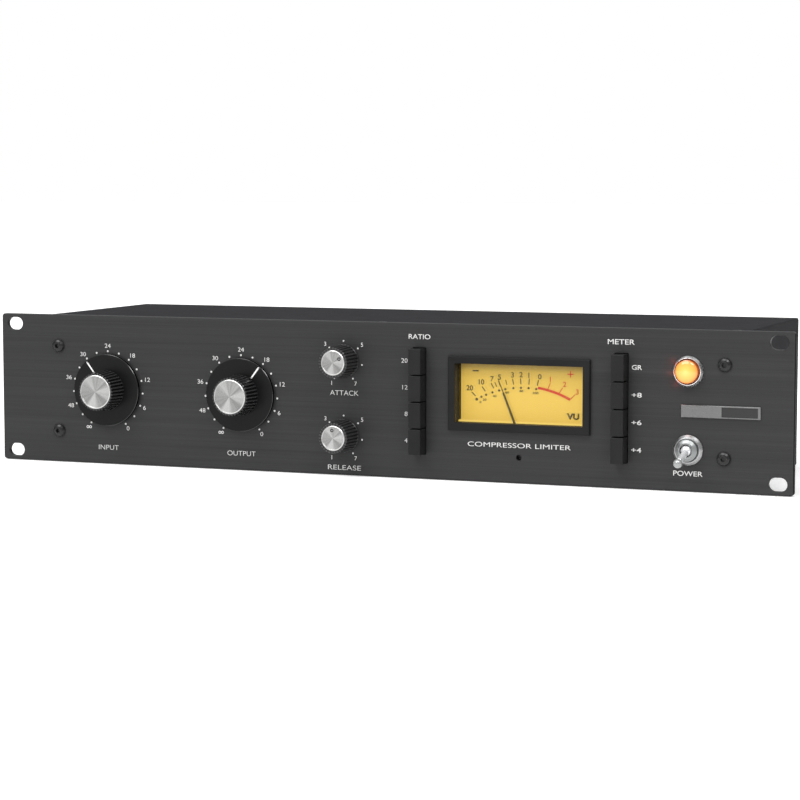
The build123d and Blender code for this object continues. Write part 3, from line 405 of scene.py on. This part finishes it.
FINISHES = {
    "panel_black": panel_black(),
    "case_paint": plain_surface(
        "case_paint", (0.0195, 0.0195, 0.0215), 0.8, grain=2400.0, depth=0.02 * MM, Specular_IOR_Level=0.06
    ),
    "black_screw": plain_surface("black_screw", (0.006, 0.006, 0.006), 0.32, Specular_IOR_Level=0.4),
    "badge": bright_metal("badge", (0.18, 0.18, 0.18), 0.34),
    "zinc": bright_metal("zinc", (0.66, 0.66, 0.64), 0.3),
    "steel": bright_metal("steel", (0.55, 0.55, 0.56), 0.28),
    "pot_metal": bright_metal("pot_metal", (0.5, 0.5, 0.48), 0.38),
    "knob_inlay": spun_aluminium("input_knob_cap"),
    "button_plastic": plain_surface(
        "button_plastic", (0.0135, 0.0135, 0.0138), 0.5, grain=1800.0, Specular_IOR_Level=0.12
    ),
    "switch_plastic": plain_surface("switch_plastic", (0.05, 0.05, 0.05), 0.55),
    "meter_frame": plain_surface(
        "meter_frame", (0.011, 0.011, 0.0113), 0.5, grain=1500.0, Specular_IOR_Level=0.12
    ),
    "meter_glass": clear_glass(),
    "meter_shell": plain_surface("meter_shell", (0.004, 0.0035, 0.003), 0.6, Specular_IOR_Level=0.05),
    "dial_face": lit_dial(),
    "needle_black": plain_surface("needle_black", (0.012, 0.009, 0.006), 0.6),
    "brass": bright_metal("brass", (0.72, 0.5, 0.2), 0.3),
    "chrome": bright_metal("chrome", (0.74, 0.74, 0.75), 0.27),
    "amber_lens": lit_lens(),
    "board_green": plain_surface("board_green", (0.02, 0.14, 0.05), 0.35, grain=300.0),
    "transformer_tape": plain_surface("transformer_tape", (0.6, 0.42, 0.05), 0.3, grain=250.0),
    "laminations": plain_surface("laminations", (0.13, 0.12, 0.11), 0.45),
    "heatsink_black": plain_surface("heatsink_black", (0.03, 0.03, 0.03), 0.4, 0.6),
    "can_sleeve": plain_surface("can_sleeve", (0.02, 0.04, 0.12), 0.3),
    "cable_grey": plain_surface("cable_grey", (0.3, 0.3, 0.31), 0.5),
    "connector_black": plain_surface("connector_black", (0.02, 0.02, 0.02), 0.36, 0.5),
    "connector_plastic": plain_surface("connector_plastic", (0.015, 0.015, 0.015), 0.5),
}
PIECE_FINISHES = {
    "toggle_nut": bright_metal("nut_satin", (0.36, 0.36, 0.365), 0.34),
    "toggle_body": bright_metal("bushing_satin", (0.27, 0.28, 0.28), 0.45),
    "toggle_lever": satin_lever(),
}
for knob in ("input", "output"):
    PIECE_FINISHES[knob + "_knob"] = level_knob_plastic(knob + "_knob", pointer_angle(knob))
for knob in ("attack", "release"):
    PIECE_FINISHES[knob + "_knob"] = time_knob_plastic(knob + "_knob", pointer_angle(knob))
    PIECE_FINISHES[knob + "_knob_cap"] = spun_aluminium(knob + "_knob_cap")
WHITE_INK = ink("white_ink", (0.58, 0.58, 0.57))
POINTER_PAINT = ink("pointer_paint", (0.88, 0.88, 0.87))
BLACK_INK = ink("black_ink", (0.012, 0.009, 0.006))
BADGE_PAINT = ink("badge_paint", (0.012, 0.012, 0.012))
RED_INK = ink("red_ink", (0.62, 0.03, 0.012))


def finish_cad_nodes():
    for part in frame["record"]["subparts"]:
        surface = PIECE_FINISHES.get(part["node"]) or FINISHES[part["material_slot"]]
        node = frame["nodes"][part["node"]]
        node.data.materials.clear()
        node.data.materials.append(surface.material)


# ---------------------------------------------------------------- printed shapes
def rotate_clockwise(x, z, degrees_):
    turn = math.radians(degrees_)
    return x * math.cos(turn) + z * math.sin(turn), z * math.cos(turn) - x * math.sin(turn)


class Print:
    """Thin ink shapes gathered in one closed mesh. They lie on the plane y and face -Y, or +Y at the rear."""

    def __init__(self, name, y, facing=-1, thickness=INK_THICKNESS):
        self.name, self.y, self.facing, self.thickness = name, y, facing, thickness
        self.mesh = bmesh.new()

    def prism(self, outline):
        """A closed thin solid from an outline of (x, z) points."""
        outer = self.y + self.facing * self.thickness
        front = [self.mesh.verts.new((x, outer, z)) for x, z in outline]
        back = [self.mesh.verts.new((x, self.y, z)) for x, z in outline]
        self.mesh.faces.new(front)
        self.mesh.faces.new(back[::-1])
        for i in range(len(outline)):
            j = (i + 1) % len(outline)
            self.mesh.faces.new((front[j], front[i], back[i], back[j]))

    def dot(self, x, z, diameter, sides=20):
        turns = [2 * math.pi * i / sides for i in range(sides)]
        self.prism([(x + diameter / 2 * math.cos(t), z + diameter / 2 * math.sin(t)) for t in turns])

    def stroke(self, start, end, width):
        a, b = Vector(start), Vector(end)
        side = (b - a).orthogonal().normalized() * width / 2
        self.prism([tuple(a + side), tuple(b + side), tuple(b - side), tuple(a - side)])

    def band(self, points, width):
        """A stroke of even width along a smooth run of points."""
        left, right = [], []
        for i, point in enumerate(points):
            ahead, behind = points[min(i + 1, len(points) - 1)], points[max(i - 1, 0)]
            side = (Vector(ahead) - Vector(behind)).orthogonal().normalized() * width / 2
            left.append(tuple(Vector(point) + side))
            right.append(tuple(Vector(point) - side))
        self.prism(left + right[::-1])

    def ring(self, x, z, diameter, width, sides=20):
        """A closed ring, as two halves that meet."""
        for start in (0.0, math.pi):
            turns = [start + math.pi * i / sides for i in range(sides + 1)]
            points = [(x + diameter / 2 * math.cos(t), z + diameter / 2 * math.sin(t)) for t in turns]
            self.band(points, width)

    def letters(self, text, x, z, height, width=None, side=0, weight=0.004, stretch=1.0):
        """Text with capitals of this height. side -1, 0 or 1 sets x as its left end, middle or right end."""
        curve = bpy.data.curves.new(self.name + "_letters", "FONT")
        curve.body, curve.extrude, curve.offset = text, 0.5, weight
        holder = bpy.data.objects.new(self.name + "_letters", curve)
        bpy.context.scene.collection.objects.link(holder)
        bpy.context.view_layer.update()
        drawn = bpy.data.meshes.new_from_object(holder.evaluated_get(bpy.context.evaluated_depsgraph_get()))
        xs = [v.co.x for v in drawn.vertices]
        ys = [v.co.y for v in drawn.vertices]
        tall = height / (max(ys) - min(ys))
        wide = width / (max(xs) - min(xs)) if width else tall * stretch
        span = (max(xs) - min(xs)) * wide
        left = {-1: x, 0: x - span / 2, 1: x - span}[side]
        for vertex in drawn.vertices:
            across = left + (vertex.co.x - min(xs)) * wide
            if self.facing > 0:
                across = 2 * x - across
            depth = self.y - self.thickness * self.facing * (-0.5 - vertex.co.z)
            vertex.co = (across, depth, z + (vertex.co.y - (min(ys) + max(ys)) / 2) * tall)
        self.mesh.from_mesh(drawn)
        bpy.data.objects.remove(holder)
        bpy.data.curves.remove(curve)
        bpy.data.meshes.remove(drawn)

    def finish(self, surface, body="chassis"):
        bmesh.ops.remove_doubles(self.mesh, verts=self.mesh.verts, dist=1e-7)
        bmesh.ops.recalc_face_normals(self.mesh, faces=self.mesh.faces)
        data = bpy.data.meshes.new(self.name)
        self.mesh.to_mesh(data)
        self.mesh.free()
        piece = bpy.data.objects.new(self.name, data)
        bpy.context.scene.collection.objects.link(piece)
        data.materials.append(surface.material)
        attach(piece, body)
        return piece


# ---------------------------------------------------------------- knob scales and pointers
LEVEL_MARKS = ("", "48", "36", "30", "24", "18", "12", "6", "0")
LEVEL_DOT_RADIUS, TIME_DOT_RADIUS = 22.95 * MM, 11.5 * MM
PAIR_RADIUS_X, PAIR_RADIUS_Z, SINGLE_RADIUS = 27.1 * MM, 26.2 * MM, 26.0 * MM
TIME_NUMBER_RADIUS = 14.8 * MM
POINTER_START, POINTER_END, POINTER_WIDTH = 12.95 * MM, 20.35 * MM, 0.88 * MM
SKIRT_TOP, TIME_CAP_FLOOR = FACE - 2.5 * MM, FACE - 15.75 * MM
TIME_MARKS = ("1", "", "3", "", "5", "", "7")


def around(joint, degrees_, radius):
    """The point on the panel at this radius and angle, clockwise from the top of a knob."""
    centre = JOINTS[joint]["pos_m"]
    x, z = rotate_clockwise(0.0, radius, degrees_)
    return centre[0] + x, centre[2] + z


def level_scale(name):
    """Seventeen dots, a number at every second one and an infinity sign at the start."""
    scale = Print(name + "_scale", FACE)
    joint = name + "_turn"
    steps = 2 * (len(LEVEL_MARKS) - 1)
    for i in range(steps + 1):
        angle = -SWEEP + 2 * SWEEP * i / steps
        scale.dot(*around(joint, angle, LEVEL_DOT_RADIUS), 1.15 * MM)
    for i, label in enumerate(LEVEL_MARKS):
        angle = -SWEEP + 2 * SWEEP * i / (len(LEVEL_MARKS) - 1)
        pair = len(label) > 1
        x, _ = around(joint, angle, PAIR_RADIUS_X if pair else SINGLE_RADIUS)
        _, z = around(joint, angle, PAIR_RADIUS_Z if pair else SINGLE_RADIUS)
        if label:
            scale.letters(label, x, z, NUMBER_HEIGHT, weight=-0.004, stretch=PAIR_STRETCH)
        else:
            scale.ring(x - 0.85 * MM, z, 1.35 * MM, 0.42 * MM)
            scale.ring(x + 0.85 * MM, z, 1.35 * MM, 0.42 * MM)
    scale.finish(WHITE_INK)


def time_scale(name):
    """Seven dots, with a number at every second one."""
    scale = Print(name + "_scale", FACE)
    joint = name + "_turn"
    for i, label in enumerate(TIME_MARKS):
        angle = -SWEEP + 2 * SWEEP * i / (len(TIME_MARKS) - 1)
        scale.dot(*around(joint, angle, TIME_DOT_RADIUS), 1.0 * MM)
        if label:
            scale.letters(label, *around(joint, angle, TIME_NUMBER_RADIUS), 2.35 * MM)
    scale.finish(WHITE_INK)


def pointer_fill(name):
    """White paint lying in the groove of a level knob's skirt."""
    joint, body = JOINTS[name + "_turn"], name + "_control"
    rest = pointer_angle(name)
    start, end = around(joint["name"], rest, POINTER_START), around(joint["name"], rest, POINTER_END)
    fill = Print(name + "_pointer", SKIRT_TOP, thickness=0.32 * MM)
    fill.stroke(start, end, POINTER_WIDTH)
    for point in (start, end):
        fill.dot(*point, POINTER_WIDTH)
    fill.finish(POINTER_PAINT, body)


def cap_index(name):
    """A dark ring lying in the round groove that marks where a time knob points."""
    mark = Print(name + "_index", TIME_CAP_FLOOR, thickness=0.3 * MM)
    mark.ring(*around(name + "_turn", pointer_angle(name), 4.5 * MM), 1.5 * MM, 0.5 * MM)
    mark.finish(BADGE_PAINT, name + "_control")


# ---------------------------------------------------------------- panel legends
def panel_titles():
    titles = Print("panel_titles", FACE)
    below_level_knob, below_toggle = -34.35 * MM, -34.25 * MM
    for name, width in (("input", 13.2), ("output", 18.0)):
        x = JOINTS[name + "_turn"]["pos_m"][0]
        titles.letters(name.upper(), x, below_level_knob, TITLE_HEIGHT, width * MM, weight=-0.014)
    for name, drop, width in (("attack", 18.3, 17.5), ("release", 18.4, 20.4)):
        x, _, z = JOINTS[name + "_turn"]["pos_m"]
        titles.letters(name.upper(), x + 0.4 * MM, z - drop * MM, TITLE_HEIGHT, width * MM, weight=-0.008)
    titles.letters("POWER", middle("toggle_nut").x, below_toggle, TITLE_HEIGHT, 16.3 * MM)
    titles.letters("COMPRESSOR LIMITER", METER_X, -23.0 * MM, 2.6 * MM, 60.3 * MM, weight=-0.004)
    titles.finish(WHITE_INK)


def bank_legends():
    """A title over each bank of buttons and a value beside each button."""
    legends = Print("bank_legends", FACE)
    above = 36.4 * MM
    ratio_x, meter_x = middle("ratio_button_20").x, middle("meter_button_gr").x
    legends.letters("RATIO", ratio_x, above, TITLE_HEIGHT, 13.0 * MM)
    legends.letters("METER", meter_x - 0.2 * MM, above, TITLE_HEIGHT, 15.2 * MM, weight=0.006)
    for value in ("20", "12", "8", "4"):
        place = middle("ratio_button_" + value)
        place_x = ratio_x - 7.2 * MM
        legends.letters(value, place_x, place.z, NUMBER_HEIGHT, side=1, weight=-0.008, stretch=PAIR_STRETCH)
    for value, name in (("GR", "gr"), ("+8", "8"), ("+6", "6"), ("+4", "4")):
        place = middle("meter_button_" + name)
        legends.letters(value, meter_x + 5.9 * MM, place.z, 2.6 * MM, 5.7 * MM, side=-1, weight=0.012)
    legends.finish(WHITE_INK)


def rear_legends():
    """Generic names over the connectors on the rear."""
    legends = Print("rear_legends", REAR, facing=1)
    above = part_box("xlr_input")[1].z + 4.0 * MM
    jacks = [mount["pos_m"][0] for mount in frame["record"]["mounts"] if mount["name"].startswith("jack_")]
    for text, x in zip(("IN", "OUT", "LINK"), jacks):
        legends.letters(text, x, above, TITLE_HEIGHT)
    legends.letters("INPUT", middle("xlr_input").x, above, TITLE_HEIGHT)
    legends.letters("OUTPUT", middle("xlr_output").x, above, TITLE_HEIGHT)
    legends.letters("MAINS", middle("iec_inlet").x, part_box("iec_inlet")[1].z + 4.0 * MM, TITLE_HEIGHT)
    legends.letters("FUSE", middle("iec_inlet").x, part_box("iec_inlet")[0].z - 4.0 * MM, 2.2 * MM)
    legends.finish(WHITE_INK)


def badge_field():
    """Black paint in the sunk right half of the blank nameplate."""
    low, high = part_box("badge_plate")
    width, height = high.x - low.x, high.z - low.z
    x, z = (low.x + high.x) / 2 + width / 4 - 0.4 * MM, (low.z + high.z) / 2
    field = Print("badge_field", FACE - 0.5 * MM)
    field.stroke((x - width / 4 + 1.05 * MM, z), (x + width / 4 - 1.05 * MM, z), height - 1.5 * MM)
    field.finish(BADGE_PAINT)


# ---------------------------------------------------------------- meter dial
ARC_DROP, ARC_RADIUS = 25.0 * MM, 57.6 * MM
DOT_ANGLES = (-47.9, -43.3, -38.7, -32.4, -25.6, -19.3, -11.1, -3.3, 4.6, 12.4)
PERCENT_MARKS = {
    "0": (-47.3, 2.6), "20": (-42.8, 2.3), "40": (-32.4, 2.4), "60": (-18.6, 2.0), "80": (-3.0, 1.8),
    "100": (12.8, 2.3),
}
LEVEL_TICKS = {"20": -46.6, "10": -37.4, "7": -29.4, "5": -22.8, "3": -10.3, "2": -3.2, "1": 4.6, "0": 12.7}
MINOR_TICKS = (-26.2, -16.6)
OVER_TICKS = {"1": 23.2, "2": 34.0, "3": 44.9}
NUMBER_SHIFTS = {
    "20": (0.6, 0.6), "10": (1.1, 0.7), "7": (1.8, 0.3), "5": (1.5, 0.0), "3": (0.4, -0.2), "2": (0.4, -0.3),
    "1": (-0.5, -0.5), "0": (0.2, -0.5),
}
OVER_SHIFTS = {"1": (-1.0, -0.3), "2": (-0.3, -0.1), "3": (-0.6, -0.4)}


def arc_reach(degrees_):
    """Distance from the needle's pivot to the scale's flattened arc at one needle angle."""
    turn = math.radians(degrees_)
    inner = ARC_DROP * math.cos(turn)
    return math.sqrt(inner ** 2 + ARC_RADIUS ** 2 - ARC_DROP ** 2) - inner


def on_dial(degrees_, beyond):
    """The dial point on a needle angle, a distance beyond the arc."""
    x, z = rotate_clockwise(0.0, arc_reach(degrees_) + beyond, degrees_)
    return METER_X + x, METER_PIVOT_Z + z


def dial_print():
    black = Print("dial_print_black", DIAL_Y)
    for i, angle in enumerate(DOT_ANGLES):
        black.dot(*on_dial(angle, 0), (1.7 if i == 0 else 1.35) * MM)
    for label, (angle, skirt_with_painted_shade_side) in PERCENT_MARKS.items():
        black.letters(label, *on_dial(angle, -skirt_with_painted_shade_side * MM), 1.3 * MM, len(label) * 1.1 * MM, weight=0.03)
    for label, angle in LEVEL_TICKS.items():
        black.stroke(on_dial(angle, 2.0 * MM), on_dial(angle, 5.3 * MM), 0.6 * MM)
        x, z = on_dial(angle, 7.7 * MM)
        shift_x, shift_z = NUMBER_SHIFTS[label]
        black.letters(label, x + shift_x * MM, z + shift_z * MM, 3.0 * MM, weight=0.022)
    for angle in MINOR_TICKS:
        black.stroke(on_dial(angle, 2.4 * MM), on_dial(angle, 5.2 * MM), 0.5 * MM)
    minus_x, minus_z = METER_X - 28.7 * MM, 17.4 * MM
    black.stroke((minus_x - 1.8 * MM, minus_z), (minus_x + 1.8 * MM, minus_z), 0.75 * MM)
    black.letters("VU", METER_X + 28.6 * MM, -6.5 * MM, 3.6 * MM, 7.3 * MM, weight=0.045)
    black.finish(BLACK_INK)


def dial_print_over():
    """The red stretch of the scale above zero."""
    red = Print("dial_print_red", DIAL_Y)
    start, end, steps = 13.8, 45.2, 24
    red.band([on_dial(start + (end - start) * i / steps, 0.8 * MM) for i in range(steps + 1)], 1.45 * MM)
    for label, angle in OVER_TICKS.items():
        red.stroke(on_dial(angle, 1.2 * MM), on_dial(angle, 5.0 * MM), 0.5 * MM)
        x, z = on_dial(angle, 7.6 * MM)
        shift_x, shift_z = OVER_SHIFTS[label]
        red.letters(label, x + shift_x * MM, z + shift_z * MM, 3.0 * MM, weight=0.02)
    plus_x, plus_z, arm = METER_X + 27.0 * MM, 17.0 * MM, 1.8 * MM
    red.stroke((plus_x - arm, plus_z), (plus_x + arm, plus_z), 0.62 * MM)
    red.stroke((plus_x, plus_z + arm), (plus_x, plus_z + 0.31 * MM), 0.62 * MM)
    red.stroke((plus_x, plus_z - 0.31 * MM), (plus_x, plus_z - arm), 0.62 * MM)
    red.finish(RED_INK)


# ---------------------------------------------------------------- floor, lights and camera
def pale_floor():
    data = bpy.data.meshes.new("floor")
    reach = 12.0
    corners = [(-reach, -reach), (reach, -reach), (reach, reach), (-reach, reach)]
    data.from_pydata([(x, y, FLOOR_Z - 0.4 * MM) for x, y in corners], [], [(0, 1, 2, 3)])
    floor = bpy.data.objects.new("floor", data)
    bpy.context.scene.collection.objects.link(floor)
    pale = plain_surface("floor", (0.86, 0.86, 0.86), 0.9, grain=20.0, spread=0.005, Emission_Strength=0.3)
    data.materials.append(pale.material)


def add_light(name, kind, place, power, color=(1, 1, 1), **settings):
    light = bpy.data.lights.new(name, kind)
    light.energy, light.color = power, color
    for key, value in settings.items():
        setattr(light, key, value)
    holder = bpy.data.objects.new(name, light)
    bpy.context.scene.collection.objects.link(holder)
    holder.location = place
    holder.rotation_euler = (-Vector(place)).to_track_quat("-Z", "Y").to_euler()


def surroundings():
    """White behind the object, and a softer room, brighter overhead, for light and reflections."""
    world = bpy.data.worlds.new("studio")
    world.use_nodes = True
    tree = world.node_tree
    room = tree.nodes["Background"]
    backdrop = tree.nodes.new("ShaderNodeBackground")
    backdrop.inputs["Color"].default_value = (1.0, 1.0, 1.0, 1.0)
    split = tree.nodes.new("ShaderNodeSeparateXYZ")
    height = tree.nodes.new("ShaderNodeMapRange")
    for socket, number in zip(("From Min", "From Max", "To Min", "To Max"), (-0.1, 0.9, 0.38, 0.75)):
        height.inputs[socket].default_value = number
    either = tree.nodes.new("ShaderNodeMixShader")
    tree.links.new(tree.nodes.new("ShaderNodeTexCoord").outputs["Generated"], split.inputs[0])
    tree.links.new(split.outputs["Z"], height.inputs["Value"])
    tree.links.new(height.outputs["Result"], room.inputs["Strength"])
    tree.links.new(tree.nodes.new("ShaderNodeLightPath").outputs["Is Camera Ray"], either.inputs["Fac"])
    tree.links.new(room.outputs["Background"], either.inputs[1])
    tree.links.new(backdrop.outputs["Background"], either.inputs[2])
    tree.links.new(either.outputs["Shader"], tree.nodes["World Output"].inputs["Surface"])
    room.inputs["Color"].default_value = (1.0, 1.0, 1.0, 1.0)
    bpy.context.scene.world = world


def studio():
    """A broad key from the front left, a softer light from the right, and the lamp's glow on the panel."""
    surroundings()
    lamp = middle("lamp_bezel")
    add_light("key_light", "SUN", (-0.35, -0.55, 0.9), 2.6, angle=math.radians(45))
    add_light("rim_light", "AREA", (0.65, -0.52, 0.92), 5.5, shape="RECTANGLE", size=0.45, size_y=0.35)
    for turn in (225, 262, 300):
        x, z = rotate_clockwise(0.0, 10.4 * MM, turn)
        glow_place = (lamp.x + x, FACE - 2.5 * MM, lamp.z + z)
        add_light("lamp_glow", "POINT", glow_place, 0.0003, (1.0, 0.1, 0.04), shadow_soft_size=1.5 * MM)
    bpy.context.scene.view_settings.view_transform = "Standard"


def photo_camera():
    """Right of centre and a little above, far enough back for a long lens."""
    data = bpy.data.cameras.new("camera")
    data.sensor_width, data.lens = 36.0, 108.52
    camera = bpy.data.objects.new("camera", data)
    bpy.context.scene.collection.objects.link(camera)
    camera.location = (0.5075, FACE - 1.2665, 0.1273)
    camera.rotation_euler = (math.radians(90 - 5.345), 0.0, math.radians(21.217))
    bpy.context.scene.camera = camera


# ---------------------------------------------------------------- assembly
finish_cad_nodes()
for level in ("input", "output"):
    level_scale(level)
    pointer_fill(level)
for timing in ("attack", "release"):
    time_scale(timing)
    cap_index(timing)
panel_titles()
bank_legends()
rear_legends()
badge_field()
dial_print()
dial_print_over()
pale_floor()
studio()
photo_camera()
